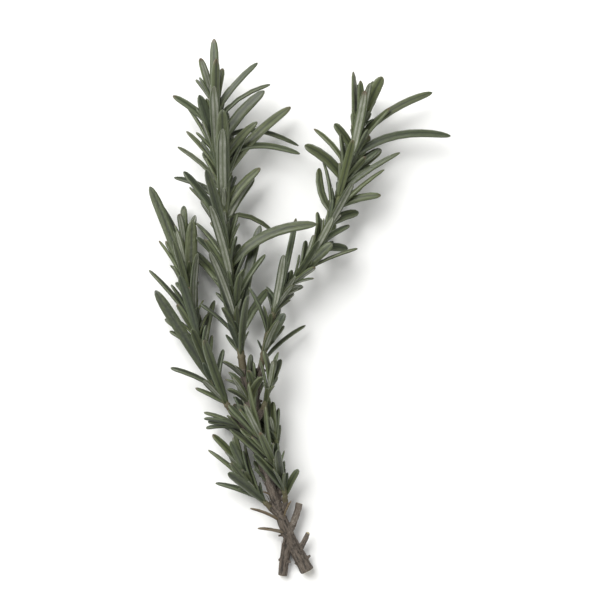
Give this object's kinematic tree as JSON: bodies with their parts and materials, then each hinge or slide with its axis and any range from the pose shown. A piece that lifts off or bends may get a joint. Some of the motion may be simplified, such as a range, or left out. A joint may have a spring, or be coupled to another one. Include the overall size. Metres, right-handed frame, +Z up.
{
  "type": "rosemary sprig",
  "caption": "Cut sprig of rosemary lying on its side: a woody stem that forks into leafy green shoots of narrow, blunt needles.",
  "frame": {"origin": "middle of the outline seen from above, on the surface that the sprig lies on", "axes": "+Z up from the surface, +Y from the cut end towards the tip of the longest shoot, +X to the right seen from above"},
  "size_m": [0.093, 0.1644, 0.0268],
  "materials": {
    "bark": "matte",
    "leaf": "matte"
  },
  "bodies": {
    "root": {"woody_stem": "bark", "main_shoot": "leaf", "right_shoot": "leaf", "left_shoot": "leaf", "front_spur": "leaf", "left_spur": "leaf", "right_spur": "leaf", "low_spur": "leaf"}
  },
  "joints": []
}
